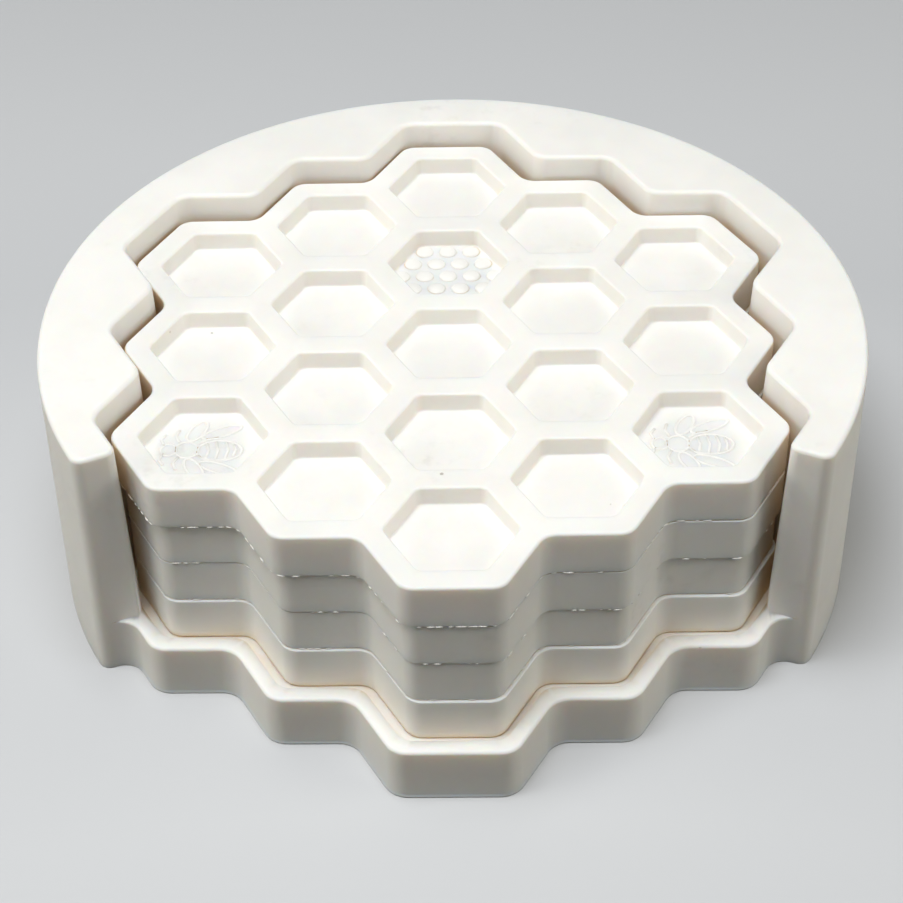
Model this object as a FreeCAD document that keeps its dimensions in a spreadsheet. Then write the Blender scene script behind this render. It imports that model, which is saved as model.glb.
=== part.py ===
"""Stack of four honeycomb plates in a round, open-fronted holder.

The origin is the comb's centre on the underside of the holder, +Z is up and the open
front faces -Y.  Lengths are millimetres and angles are degrees.
"""
import FreeCAD
import Part
import Sketcher
import math
import os

PLATE_COUNT = 4

# alias, value, meaning
SIZES = [
    ("cell_side", 12.0, "side of one hexagonal tile of the comb"),
    ("plate_thick", 7.5, "thickness of one plate"),
    ("plate_margin", 1.65, "plate edge beyond the outer tiles"),
    ("plate_corner", 2.0, "radius of the plate's upright corners"),
    ("plate_edge", 0.4, "rounding of the plate's top, bottom and well edges"),
    ("web_width", 4.08, "web between two wells"),
    ("well_depth", 3.0, "depth of a well"),
    ("well_corner", 1.5, "radius of a well's upright corners"),
    ("base_thick", 8.0, "floor of the holder"),
    ("lip_rise", 1.3, "front lip above the floor"),
    ("lip_width", 2.6, "width of the front lip"),
    ("lip_corner", 3.0, "radius of the lip's upright corners"),
    ("lip_edge", 0.8, "rounding of the lip's outer top edge"),
    ("floor_gap", 0.7, "gap round the plates at the floor"),
    ("rim_gap", 1.8, "gap round the plates at the rim"),
    ("recess_corner", 3.0, "radius of the recess's upright corners"),
    ("rim_rise", 4.0, "rim above the top plate"),
    ("rim_edge", 1.0, "rounding of the rim's top edges"),
    ("ring_wall", 6.4, "round wall outside the farthest corners of the recess"),
    ("ring_shift", 1.0, "round wall's centre behind the comb's centre"),
    ("mouth_reach", 8.0, "wall ends in front of the outer tiles' centres"),
    ("end_slant", 24.0, "slant of the wall ends, their outer corners in front"),
    ("end_outer_round", 1.8, "outer rounding of the wall ends"),
    ("end_inner_round", 1.6, "inner rounding of the wall ends"),
    ("end_foot_round", 3.4, "hollow rounding where a wall end meets the lip"),
    ("dome_wall", 0.4, "gap between the outer domes and the well's sides"),
    ("dome_radius", 1.45, "radius of one dome"),
    ("dome_rise", 0.55, "height of one dome"),
    ("bee_gap", 3.15, "gap between each end of the bee and the well's corner"),
    ("bee_rise", 0.45, "height of the bee in relief"),
]

# how each plate lies in its recess, bottom plate first: right, back, turn
LOOSE_FIT = [(0.10, 0.15, 0.3), (-0.20, 0.35, 0.4), (0.15, 0.50, 0.2), (-0.50, 0.90, 0.6)]

doc = FreeCAD.newDocument("honeycomb_plates")
sheet = doc.addObject("Spreadsheet::Sheet", "Sizes")
for row, (alias, value, meaning) in enumerate(SIZES, start=1):
    sheet.set("A%d" % row, alias)
    sheet.set("B%d" % row, str(value))
    sheet.set("C%d" % row, meaning)
    sheet.setAlias("B%d" % row, alias)
doc.recompute()

PITCH = "Sizes.cell_side * sqrt(3)"
HOLDER_HEIGHT = "(Sizes.base_thick + %d * Sizes.plate_thick + Sizes.rim_rise)" % PLATE_COUNT
RECESS_DEPTH = "(%d * Sizes.plate_thick + Sizes.rim_rise)" % PLATE_COUNT
LIP_TOP = "(Sizes.base_thick + Sizes.lip_rise)"
WELL_FLOOR = "(Sizes.plate_thick - Sizes.well_depth)"

# tile apothem plus the margin that each comb outline has round it
TILE = "Sizes.cell_side * sqrt(3) / 2"
PLATE_TILE = "%s + Sizes.plate_margin" % TILE
RIM_TILE = "%s + Sizes.plate_margin + Sizes.rim_gap" % TILE
LIP_TILE = "%s + Sizes.plate_margin + Sizes.floor_gap + Sizes.lip_width" % TILE
# the recess widens evenly from its floor to the rim
RECESS_SLOPE = "((Sizes.rim_gap - Sizes.floor_gap) / %s)" % RECESS_DEPTH
RECESS_DRAFT = "-atan(%s)" % RECESS_SLOPE
LIP_RECESS_TILE = "%s + Sizes.plate_margin + Sizes.floor_gap + Sizes.lip_rise * %s" % (
    TILE,
    RECESS_SLOPE,
)

# the farthest corners of the recess belong to the tiles at the comb's corners
RECESS_REACH = "sqrt((2 * %s + %s)^2 + ((%s) / sqrt(3))^2)" % (PITCH, RIM_TILE, RIM_TILE)
RING_RADIUS = "(%s + Sizes.ring_wall)" % RECESS_REACH
# each wall end lies on a slanted line; the two lines meet at the mouth's tip, on the Y axis
MOUTH_FRONT = "(%s + Sizes.mouth_reach)" % PITCH
MOUTH_RIGHT = "(4 * Sizes.cell_side)"
MOUTH_TIP = "(%s * tan(Sizes.end_slant) - %s)" % (MOUTH_RIGHT, MOUTH_FRONT)

WELL_WIDTH = "(%s - Sizes.web_width)" % PITCH
DOME_PITCH = "((%s / 2 - Sizes.dome_wall - Sizes.dome_radius) / sqrt(3))" % WELL_WIDTH
BEE_LENGTH = "(%s * 2 / sqrt(3) - 2 * Sizes.bee_gap)" % WELL_WIDTH

# one tile of each kind; six turns of these and the centre tile make the comb of nineteen
SPOKES = [
    ("near", "0", PITCH),
    ("far", "0", "2 * %s" % PITCH),
    ("between", "1.5 * Sizes.cell_side", "1.5 * %s" % PITCH),
]
waiting = {}
HEX_CORNERS = [(1, 0), (0.5, 1), (-0.5, 1), (-1, 0), (-0.5, -1), (0.5, -1)]


def measure(expression):
    """Value of an expression over the sheet, as a plain number."""
    return float(sheet.evalExpression(expression))


def new_sketch(body, name, height="0", right="0", back="0"):
    """Sketch parallel to the body's XY plane, its origin moved by three expressions."""
    sketch = body.newObject("Sketcher::SketchObject", name)
    plane = [part for part in body.Origin.OriginFeatures if part.Role == "XY_Plane"][0]
    sketch.AttachmentSupport = [(plane, "")]
    sketch.MapMode = "FlatFace"
    sketch.setExpression("AttachmentOffset.Base.x", right)
    sketch.setExpression("AttachmentOffset.Base.y", back)
    sketch.setExpression("AttachmentOffset.Base.z", height)
    return sketch


def constrain(sketch, kind, *items, size=None):
    """Notes a constraint for the sketch, with the size's expression where it has one."""
    values = items if size is None else items + (measure(size),)
    waiting.setdefault(sketch.Name, []).append((Sketcher.Constraint(kind, *values), size))


def close_sketch(sketch):
    """Adds the constraints noted for a sketch and binds their sizes."""
    noted = waiting.pop(sketch.Name)
    sketch.addConstraint([constraint for constraint, _size in noted])
    for index, (_constraint, size) in enumerate(noted):
        if size is not None:
            sketch.renameConstraint(index, "size_%d" % index)
            sketch.setExpression("Constraints.size_%d" % index, size)


def place_centre(sketch, item, right, back):
    """Fixes the centre of a circle or arc at two expressions from the sketch's origin."""
    constrain(sketch, "DistanceX", -1, 1, item, 3, size=right)
    constrain(sketch, "DistanceY", -1, 1, item, 3, size=back)


def add_circle(sketch, right, back, radius, construction=False):
    """Circle at two expressions from the sketch's origin."""
    centre = FreeCAD.Vector(measure(right), measure(back), 0)
    circle = Part.Circle(centre, FreeCAD.Vector(0, 0, 1), measure(radius))
    item = sketch.addGeometry(circle, construction)
    place_centre(sketch, item, right, back)
    constrain(sketch, "Radius", item, size=radius)
    return item


def add_hexagon(sketch, right, back, apothem):
    """Hexagon with two flats square to Y, held by a construction circle through its corners."""
    radius = "(%s) * 2 / sqrt(3)" % apothem
    circle = add_circle(sketch, right, back, radius, construction=True)
    corners = [
        FreeCAD.Vector(measure(right) + x * measure(radius), measure(back) + y * measure(apothem), 0)
        for x, y in HEX_CORNERS
    ]
    sides = [
        sketch.addGeometry(Part.LineSegment(corners[k], corners[(k + 1) % 6])) for k in range(6)
    ]
    for k in range(6):
        constrain(sketch, "Coincident", sides[k], 2, sides[(k + 1) % 6], 1)
        constrain(sketch, "PointOnObject", sides[k], 1, circle)
    for k in range(1, 6):
        constrain(sketch, "Equal", sides[0], sides[k])
    constrain(sketch, "Horizontal", sides[1])


def add_round_hexagon(sketch, right, back, apothem, corner):
    """Hexagon with rounded corners, held by the centres of its six corner arcs."""
    inner = "((%s) - %s)" % (apothem, corner)
    radius = measure(corner)
    arcs, ends = [], []
    for x, y in HEX_CORNERS:
        centre_right = "(%s) + %g * %s * 2 / sqrt(3)" % (right, x, inner)
        centre_back = "(%s) + %g * %s" % (back, y, inner)
        centre = FreeCAD.Vector(measure(centre_right), measure(centre_back), 0)
        outward = FreeCAD.Vector(x * 2, y * 3**0.5, 0).normalize() * radius
        aside = FreeCAD.Rotation(FreeCAD.Vector(0, 0, 1), 30)
        start = centre + aside.inverted().multVec(outward)
        end = centre + aside.multVec(outward)
        arc = sketch.addGeometry(Part.Arc(start, centre + outward, end))
        place_centre(sketch, arc, centre_right, centre_back)
        arcs.append(arc)
        ends.append((start, end))
    constrain(sketch, "Radius", arcs[0], size=corner)
    for k in range(6):
        side = sketch.addGeometry(Part.LineSegment(ends[k][1], ends[(k + 1) % 6][0]))
        constrain(sketch, "Tangent", arcs[k], 2, side, 1)
        constrain(sketch, "Tangent", side, 2, arcs[(k + 1) % 6], 1)


def add_slot(sketch, first, last, radius):
    """Round-ended bar between two points, each a pair of expressions."""
    start = FreeCAD.Vector(measure(first[0]), measure(first[1]), 0)
    end = FreeCAD.Vector(measure(last[0]), measure(last[1]), 0)
    up = FreeCAD.Vector(0, 0, 1)
    side = (end - start).normalize().cross(up) * measure(radius)
    ahead = (end - start).normalize() * measure(radius)
    cap_start = sketch.addGeometry(Part.Arc(start + side * -1, start - ahead, start + side))
    cap_end = sketch.addGeometry(Part.Arc(end + side, end + ahead, end - side))
    right_side = sketch.addGeometry(Part.LineSegment(start + side, end + side))
    left_side = sketch.addGeometry(Part.LineSegment(end - side, start - side))
    constrain(sketch, "Tangent", cap_start, 2, right_side, 1)
    constrain(sketch, "Tangent", right_side, 2, cap_end, 1)
    constrain(sketch, "Tangent", cap_end, 2, left_side, 1)
    constrain(sketch, "Tangent", left_side, 2, cap_start, 1)
    place_centre(sketch, cap_start, *first)
    place_centre(sketch, cap_end, *last)
    constrain(sketch, "Radius", cap_start, size=radius)


def extrude(body, kind, sketch, length, taper=None):
    """Pad or Pocket of a sketch; a Pocket cuts downwards."""
    close_sketch(sketch)
    feature = body.newObject("PartDesign::" + kind, sketch.Name + kind)
    feature.Profile = sketch
    feature.setExpression("Length", length)
    if taper:
        feature.setExpression("TaperAngle", taper)
    sketch.Visibility = False
    return feature


def turn_about_centre(body, name, features, sketch):
    """Six copies of the features about the comb's centre."""
    pattern = body.newObject("PartDesign::PolarPattern", name)
    pattern.Originals = features
    pattern.Axis = (sketch, ["N_Axis"])
    pattern.Angle = 360
    pattern.Occurrences = 6
    body.Tip = pattern
    doc.recompute()
    return pattern


def comb(body, name, kind, apothem, length, height="0", taper=None):
    """Nineteen overlapping hexagons, one sketch and feature for each kind of tile."""
    centre = new_sketch(body, name + "Centre", height)
    add_hexagon(centre, "0", "0", apothem)
    extrude(body, kind, centre, length, taper)
    spokes = []
    for label, right, back in SPOKES:
        sketch = new_sketch(body, name + label.capitalize(), height)
        add_hexagon(sketch, right, back, apothem)
        spokes.append(extrude(body, kind, sketch, length, taper))
    return turn_about_centre(body, name + "Comb", spokes, centre)


def round_edges(body, name, radius, wanted):
    """Fillet on the edges of the body's tip that the test picks."""
    base = body.Tip
    edges = ["Edge%d" % k for k, edge in enumerate(base.Shape.Edges, start=1) if wanted(edge)]
    fillet = body.newObject("PartDesign::Fillet", name)
    fillet.Base = (base, edges)
    fillet.setExpression("Radius", radius)
    doc.recompute()
    return fillet


def is_upright(edge):
    """True for a straight edge within a few degrees of vertical."""
    if len(edge.Vertexes) < 2:
        return False
    chord = edge.Vertexes[1].Point - edge.Vertexes[0].Point
    return edge.Length < chord.Length + 0.001 and abs(chord.z) > 0.99 * chord.Length


def lies_at(edge, height):
    """True for an edge that lies flat at a height."""
    box = edge.BoundBox
    return box.ZLength < 0.001 and abs(box.ZMin - height) < 0.001


def spans(edge, low, high):
    """True for an edge whose ends are at two heights."""
    box = edge.BoundBox
    return abs(box.ZMin - low) < 0.001 and abs(box.ZMax - high) < 0.001


def add_domes(body):
    """Nineteen small domes in the well behind the centre one."""
    sketch = new_sketch(body, "Domes", WELL_FLOOR, back=PITCH)
    for across in range(-2, 3):
        for up in range(-2, 3):
            if abs(across + up) > 2:
                continue
            right = "%s * %g" % (DOME_PITCH, across + up / 2)
            back = "%s * %d * sqrt(3) / 2" % (DOME_PITCH, up)
            add_circle(sketch, right, back, "Sizes.dome_radius")
    extrude(body, "Pad", sketch, "Sizes.dome_rise")
    doc.recompute()
    top = measure(WELL_FLOOR + " + Sizes.dome_rise")
    round_edges(
        body, "DomesRound", "Sizes.dome_rise * 0.9", lambda edge: lies_at(edge, top)
    )


# pieces of the bee as bars: start and end along and across its length, and half width
BEE_BARS = [
    ((-0.40, 0.00), (-0.38, 0.00), 0.085),
    ((-0.18, -0.02), (-0.18, 0.02), 0.100),
    ((0.01, -0.09), (0.01, 0.09), 0.055),
    ((0.15, -0.09), (0.15, 0.09), 0.050),
    ((0.28, -0.06), (0.28, 0.06), 0.045),
    ((0.41, -0.01), (0.41, 0.01), 0.045),
    ((-0.15, 0.20), (-0.02, 0.36), 0.065),
    ((0.06, 0.22), (0.24, 0.33), 0.055),
    ((-0.15, -0.20), (-0.02, -0.36), 0.065),
    ((0.06, -0.22), (0.24, -0.33), 0.055),
    ((-0.50, 0.08), (-0.56, 0.16), 0.015),
    ((-0.50, -0.08), (-0.56, -0.16), 0.015),
]


def add_bee(body, side_name, side):
    """Bee in low relief in the front well of an outer column; side is 1 or -1."""
    sketch = new_sketch(
        body,
        "Bee" + side_name,
        WELL_FLOOR,
        right="%d * 3 * Sizes.cell_side" % side,
        back="-" + PITCH,
    )
    for first, last, half_width in BEE_BARS:
        ends = [
            ("%s * %g" % (BEE_LENGTH, along), "%s * %g" % (BEE_LENGTH, across))
            for along, across in (first, last)
        ]
        add_slot(sketch, ends[0], ends[1], "%s * %g" % (BEE_LENGTH, half_width))
    extrude(body, "Pad", sketch, "Sizes.bee_rise")
    doc.recompute()


def make_plate_pattern():
    """Comb-shaped slab with nineteen wells, domes in one and a bee in two."""
    body = doc.addObject("PartDesign::Body", "PlatePattern")
    comb(body, "Slab", "Pad", PLATE_TILE, "Sizes.plate_thick")
    round_edges(body, "SlabCorners", "Sizes.plate_corner", is_upright)

    well_size = (WELL_WIDTH + " / 2", "Sizes.well_corner")
    well_centre = new_sketch(body, "WellCentre", "Sizes.plate_thick")
    add_round_hexagon(well_centre, "0", "0", *well_size)
    extrude(body, "Pocket", well_centre, "Sizes.well_depth")
    well_spokes = new_sketch(body, "WellSpokes", "Sizes.plate_thick")
    for _label, right, back in SPOKES:
        add_round_hexagon(well_spokes, right, back, *well_size)
    wells = extrude(body, "Pocket", well_spokes, "Sizes.well_depth")
    turn_about_centre(body, "Wells", [wells], well_spokes)

    top = measure("Sizes.plate_thick")
    round_edges(
        body,
        "PlateEdges",
        "Sizes.plate_edge",
        lambda edge: lies_at(edge, 0) or lies_at(edge, top),
    )
    add_domes(body)
    add_bee(body, "Left", -1)
    add_bee(body, "Right", 1)
    return body


def make_plate(pattern, number):
    """One plate of the stack, counted from the bottom, lying loosely in the recess."""
    body = doc.addObject("PartDesign::Body", "Plate%d" % number)
    body.Label = "plate_%d" % number
    body.BaseFeature = pattern
    right, back, turn = LOOSE_FIT[number - 1]
    body.Placement = FreeCAD.Placement(
        FreeCAD.Vector(right, back, 0), FreeCAD.Rotation(FreeCAD.Vector(0, 0, 1), turn)
    )
    height = "Sizes.base_thick + %d * Sizes.plate_thick" % (number - 1)
    body.setExpression("Placement.Base.z", height)
    return body


def add_ring_outline(sketch):
    """Round wall seen from above: an arc open at the front, closed by the lines of the
    two wall ends, with the corners between them and the arc rounded."""
    radius, corner = measure(RING_RADIUS), measure("Sizes.end_outer_round")
    slant = math.radians(measure("Sizes.end_slant"))
    centre = FreeCAD.Vector(0, measure("Sizes.ring_shift"), 0)
    tip = FreeCAD.Vector(0, measure(MOUTH_TIP), 0)
    along = FreeCAD.Vector(math.cos(slant), -math.sin(slant), 0)
    ahead = FreeCAD.Vector(-math.sin(slant), -math.cos(slant), 0)
    # the corner's centre is one rounding inside both the end's line and the arc
    base = tip - ahead * corner
    middle = (base - centre).dot(along)
    reach = (middle**2 + (radius - corner) ** 2 - (base - centre).Length ** 2) ** 0.5 - middle
    corner_centre = base + along * reach
    outward = (corner_centre - centre).normalize()
    mirror = lambda point: FreeCAD.Vector(-point.x, point.y, 0)
    start = corner_centre + outward * corner
    foot = corner_centre + ahead * corner
    middle = corner_centre + (outward + ahead).normalize() * corner

    wall = sketch.addGeometry(Part.Arc(start, centre + FreeCAD.Vector(0, radius, 0), mirror(start)))
    left = sketch.addGeometry(Part.Arc(mirror(start), mirror(middle), mirror(foot)))
    left_end = sketch.addGeometry(Part.LineSegment(mirror(foot), tip))
    right_end = sketch.addGeometry(Part.LineSegment(tip, foot))
    right = sketch.addGeometry(Part.Arc(foot, middle, start))
    constrain(sketch, "Tangent", wall, 2, left, 1)
    constrain(sketch, "Tangent", left, 2, left_end, 1)
    constrain(sketch, "Coincident", left_end, 2, right_end, 1)
    constrain(sketch, "Tangent", right_end, 2, right, 1)
    constrain(sketch, "Tangent", right, 2, wall, 1)
    constrain(sketch, "Equal", left_end, right_end)
    constrain(sketch, "Equal", left, right)
    constrain(sketch, "PointOnObject", right_end, 1, -2)
    place_centre(sketch, wall, "0", "Sizes.ring_shift")
    constrain(sketch, "Radius", wall, size=RING_RADIUS)
    constrain(sketch, "Radius", right, size="Sizes.end_outer_round")
    constrain(sketch, "DistanceY", -1, 1, right_end, 1, size=MOUTH_TIP)
    constrain(sketch, "Angle", right_end, size="-Sizes.end_slant * 1deg")


def add_point(sketch, item, end, right, back):
    """Fixes one end of a line or arc at two expressions from the sketch's origin."""
    constrain(sketch, "DistanceX", -1, 1, item, end, size=right)
    constrain(sketch, "DistanceY", -1, 1, item, end, size=back)


def add_end_foot(body, side_name, side):
    """Hollow rounding between the lip's outer side and a wall end; side is 1 or -1."""
    sketch = new_sketch(body, "EndFoot" + side_name)
    radius, root = "Sizes.end_foot_round", "(Sizes.end_foot_round * 0.7)"
    along, ahead = "cos(Sizes.end_slant)", "sin(Sizes.end_slant)"
    # how far the hollow's centre lies along the normals of the lip's side and the end
    from_lip = "(2 * %s + %s + %s)" % (PITCH, LIP_TILE, radius)
    from_end = "(%s - %s * %s)" % (radius, along, MOUTH_TIP)
    spread = "cos(30 - Sizes.end_slant)"
    hollow_right = "((%s * %s - %s / 2) / %s)" % (along, from_lip, from_end, spread)
    hollow_back = "(-(%s * sqrt(3) / 2 + %s * %s) / %s)" % (from_end, ahead, from_lip, spread)
    places = {
        "hollow": (hollow_right, hollow_back),
        "lip": (hollow_right + " - %s * sqrt(3) / 2" % radius, hollow_back + " + %s / 2" % radius),
        "end": (
            hollow_right + " + %s * %s" % (radius, ahead),
            hollow_back + " + %s * %s" % (radius, along),
        ),
    }
    places["in_lip"] = (
        places["lip"][0] + " - %s * sqrt(3) / 2" % root,
        places["lip"][1] + " + %s / 2" % root,
    )
    places["in_wall"] = (
        places["end"][0] + " + %s * %s" % (root, ahead),
        places["end"][1] + " + %s * %s" % (root, along),
    )
    places = {
        name: ("%d * (%s)" % (side, right), back) for name, (right, back) in places.items()
    }
    point = {
        name: FreeCAD.Vector(measure(right), measure(back), 0)
        for name, (right, back) in places.items()
    }
    middle = ((point["lip"] + point["end"]) / 2 - point["hollow"]).normalize()
    arc_middle = point["hollow"] + middle * measure(radius)
    arc = sketch.addGeometry(Part.Arc(point["lip"], arc_middle, point["end"]))
    arc_lip, arc_end = (2, 1) if side > 0 else (1, 2)
    wall_side = sketch.addGeometry(Part.LineSegment(point["end"], point["in_wall"]))
    inside = sketch.addGeometry(Part.LineSegment(point["in_wall"], point["in_lip"]))
    lip_side = sketch.addGeometry(Part.LineSegment(point["in_lip"], point["lip"]))
    constrain(sketch, "Coincident", arc, arc_end, wall_side, 1)
    constrain(sketch, "Coincident", wall_side, 2, inside, 1)
    constrain(sketch, "Coincident", inside, 2, lip_side, 1)
    constrain(sketch, "Coincident", lip_side, 2, arc, arc_lip)
    place_centre(sketch, arc, *places["hollow"])
    constrain(sketch, "Radius", arc, size=radius)
    constrain(sketch, "DistanceX", -1, 1, arc, arc_end, size=places["end"][0])
    constrain(sketch, "DistanceY", -1, 1, arc, arc_lip, size=places["lip"][1])
    add_point(sketch, inside, 1, *places["in_wall"])
    add_point(sketch, inside, 2, *places["in_lip"])
    extrude(body, "Pad", sketch, LIP_TOP)
    doc.recompute()


def make_holder_base():
    """Lower part of the holder: floor with the comb-shaped lip round its front."""
    body = doc.addObject("PartDesign::Body", "HolderBase")
    floor, lip_top = measure("Sizes.base_thick"), measure(LIP_TOP)

    comb(body, "Lip", "Pad", LIP_TILE, LIP_TOP)
    round_edges(body, "LipCorners", "Sizes.lip_corner", is_upright)
    round_edges(body, "LipEdge", "Sizes.lip_edge", lambda edge: lies_at(edge, lip_top))
    outline = new_sketch(body, "BaseOutline")
    add_ring_outline(outline)
    extrude(body, "Pad", outline, LIP_TOP)
    for side_name, side in (("Left", -1), ("Right", 1)):
        add_end_foot(body, side_name, side)
    comb(body, "LipRecess", "Pocket", LIP_RECESS_TILE, "Sizes.lip_rise", LIP_TOP, RECESS_DRAFT)
    round_edges(
        body,
        "LipRecessCorners",
        "Sizes.recess_corner",
        lambda edge: is_upright(edge) and spans(edge, floor, lip_top),
    )
    return body


def make_holder_wall():
    """Upper part of the holder: round wall, open at the front, with a comb-shaped inside."""
    body = doc.addObject("PartDesign::Body", "HolderWall")
    lip_top, height = measure(LIP_TOP), measure(HOLDER_HEIGHT)
    front = -measure(PITCH + " + Sizes.mouth_reach / 2")
    wall_height = "%s - %s" % (HOLDER_HEIGHT, LIP_TOP)

    outline = new_sketch(body, "WallOutline", LIP_TOP)
    add_ring_outline(outline)
    extrude(body, "Pad", outline, wall_height)
    comb(body, "Recess", "Pocket", RIM_TILE, wall_height, HOLDER_HEIGHT, RECESS_DRAFT)
    leaning = lambda edge: is_upright(edge) and edge.BoundBox.XLength > 0.001
    round_edges(
        body,
        "EndCorners",
        "Sizes.end_inner_round",
        lambda edge: leaning(edge) and edge.BoundBox.YMax < front,
    )
    round_edges(
        body,
        "RecessCorners",
        "Sizes.recess_corner",
        lambda edge: leaning(edge) and spans(edge, lip_top, height),
    )
    round_edges(body, "RimEdge", "Sizes.rim_edge", lambda edge: lies_at(edge, height))
    return body


def make_holder():
    """Round holder: floor, wall open at the front, comb-shaped recess and low front lip."""
    holder = doc.addObject("Part::MultiFuse", "Holder")
    holder.Label = "holder"
    holder.Shapes = [make_holder_base(), make_holder_wall()]
    doc.recompute()
    return holder


def check_and_export(subparts):
    """Stops on a failed object or shape, then writes one STEP file for each sub-part."""
    for item in doc.Objects:
        if "Invalid" in item.State or "Error" in item.State:
            raise RuntimeError("%s failed: %s" % (item.Name, item.State))
    for item in subparts:
        if item.Shape.isNull() or not item.Shape.isValid() or len(item.Shape.Solids) != 1:
            raise RuntimeError("%s is not one valid solid" % item.Label)
    os.makedirs("parts", exist_ok=True)
    for item in subparts:
        item.Shape.exportStep("parts/%s.step" % item.Label)
        print("%-8s %10.1f mm3" % (item.Label, item.Shape.Volume))


holder = make_holder()
plate_pattern = make_plate_pattern()
plates = [make_plate(plate_pattern, number) for number in range(1, PLATE_COUNT + 1)]
doc.recompute()
check_and_export([holder] + plates)
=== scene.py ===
"""Looks of a stack of honeycomb moulding plates in their round, open-fronted holder.

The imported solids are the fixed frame.  Every piece is built around it in metres, +Z up,
with the comb's centre at the origin and the open front towards -Y.
"""
from __future__ import annotations

import logging
import math
from dataclasses import dataclass, field, replace
from enum import Enum
from functools import cache
from typing import Callable, Iterable, Sequence

import bmesh
import bpy
from bmesh.types import BMesh, BMVert
from bpy.types import Material, Node, NodeSocket, NodeTree, Object
from mathutils import Matrix, Vector, noise


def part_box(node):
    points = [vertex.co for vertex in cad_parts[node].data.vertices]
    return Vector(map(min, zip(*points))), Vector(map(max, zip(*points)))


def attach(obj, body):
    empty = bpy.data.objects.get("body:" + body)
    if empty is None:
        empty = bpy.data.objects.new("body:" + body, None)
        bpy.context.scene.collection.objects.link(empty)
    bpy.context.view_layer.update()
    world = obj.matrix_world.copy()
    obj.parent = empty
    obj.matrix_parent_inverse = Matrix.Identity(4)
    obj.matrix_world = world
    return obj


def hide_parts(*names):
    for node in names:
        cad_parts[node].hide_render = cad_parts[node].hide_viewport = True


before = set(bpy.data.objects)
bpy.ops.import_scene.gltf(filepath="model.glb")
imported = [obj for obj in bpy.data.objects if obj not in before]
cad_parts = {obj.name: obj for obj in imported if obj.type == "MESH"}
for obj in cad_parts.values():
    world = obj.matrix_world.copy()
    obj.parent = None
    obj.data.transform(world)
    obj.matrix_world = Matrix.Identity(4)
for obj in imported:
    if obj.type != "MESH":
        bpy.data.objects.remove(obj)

LOG = logging.getLogger("honeycomb_plates")
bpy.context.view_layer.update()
MM = 0.001
RINGS = 2
SINK = 0.05 * MM  # how far the foot of a relief stands below its floor
ROOT_3 = math.sqrt(3.0)


class Side(Enum):
    """Left or right half of the comb, seen from the open front."""

    LEFT = -1
    RIGHT = 1


# ---------------------------------------------------------------- outlines


@dataclass(frozen=True)
class Corner:
    """One corner of a closed outline seen from above.

    Args:
        right: distance along X, in metres.
        back: distance along Y, in metres.
        radius: rounding of the corner, or 0 for a sharp one.
    """

    right: float
    back: float
    radius: float = 0.0

    @property
    def place(self) -> Vector:
        """The corner as a flat vector."""
        return Vector((self.right, self.back))


@dataclass(frozen=True)
class Station:
    """A point of an outline with the outward direction there."""

    place: Vector
    outward: Vector


def comb_corners(cell_side: float, spread: float, radius: float) -> list[Corner]:
    """Corners of the comb of nineteen tiles, anticlockwise from the right.

    Args:
        cell_side: side of one tile.
        spread: distance from the tiles' outer sides to the outline.
        radius: rounding of every corner.

    Returns:
        Thirty corners, with straight sides parallel to the tiles' sides.
    """
    pitch = cell_side * ROOT_3
    reach = cell_side + spread * 2 / ROOT_3
    corners: list[Corner] = []
    for sector in range(6):
        turn = math.radians(60 * sector)
        # from the tile that points along the sector to the next one: three outer corners
        # of the pointing tile, then the notch, one tile side and the notch after it
        spoke = Vector((pitch * RINGS, 0.0))
        spoke.rotate(Matrix.Rotation(turn + math.radians(30), 2))
        after = Vector((pitch * RINGS, 0.0))
        after.rotate(Matrix.Rotation(turn + math.radians(90), 2))
        between = (spoke + after) / 2
        following = turn + math.radians(60)
        notch_reach = cell_side / 2 + spread * 2 / ROOT_3
        corners += [
            _tile_corner(spoke, turn, reach, radius),
            _tile_corner(spoke, following, reach, radius),
            _notch(spoke, between, notch_reach, radius),
            _tile_corner(between, following, reach, radius),
            _notch(between, after, notch_reach, radius),
        ]
    return corners


def _tile_corner(centre: Vector, angle: float, reach: float, radius: float) -> Corner:
    """Corner of one tile at an angle from its centre."""
    return Corner(centre.x + reach * math.cos(angle), centre.y + reach * math.sin(angle), radius)


def _notch(first: Vector, second: Vector, reach: float, radius: float) -> Corner:
    """Inward corner between two neighbouring outer tiles."""
    outward = Vector((second.y - first.y, first.x - second.x)).normalized()
    place = (first + second) / 2 + outward * reach
    return Corner(place.x, place.y, radius)


def keep_part(
    corners: Sequence[Corner], depth: Callable[[Vector], float], radius: float
) -> list[Corner]:
    """Part of a closed outline where a depth is above zero.

    Args:
        corners: closed outline, anticlockwise.
        depth: signed distance of a place from the line that cuts the outline.
        radius: rounding of the corners where the line cuts the outline.

    Returns:
        The kept corners in order, between the two corners that the cut makes.
    """
    count = len(corners)
    kept = [depth(corner.place) > 0 for corner in corners]
    index = next(k for k in range(count) if kept[k] and not kept[k - 1])
    chain = [cut_edge(corners[index - 1], corners[index], depth, radius)]
    while kept[index % count]:
        chain.append(corners[index % count])
        index += 1
    chain.append(cut_edge(corners[(index - 1) % count], corners[index % count], depth, radius))
    return chain


def cut_edge(
    first: Corner, second: Corner, depth: Callable[[Vector], float], radius: float = 0.0
) -> Corner:
    """Corner between two others where a depth is zero."""
    before, after = depth(first.place), depth(second.place)
    place = first.place.lerp(second.place, before / (before - after))
    return Corner(place.x, place.y, radius)


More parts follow.
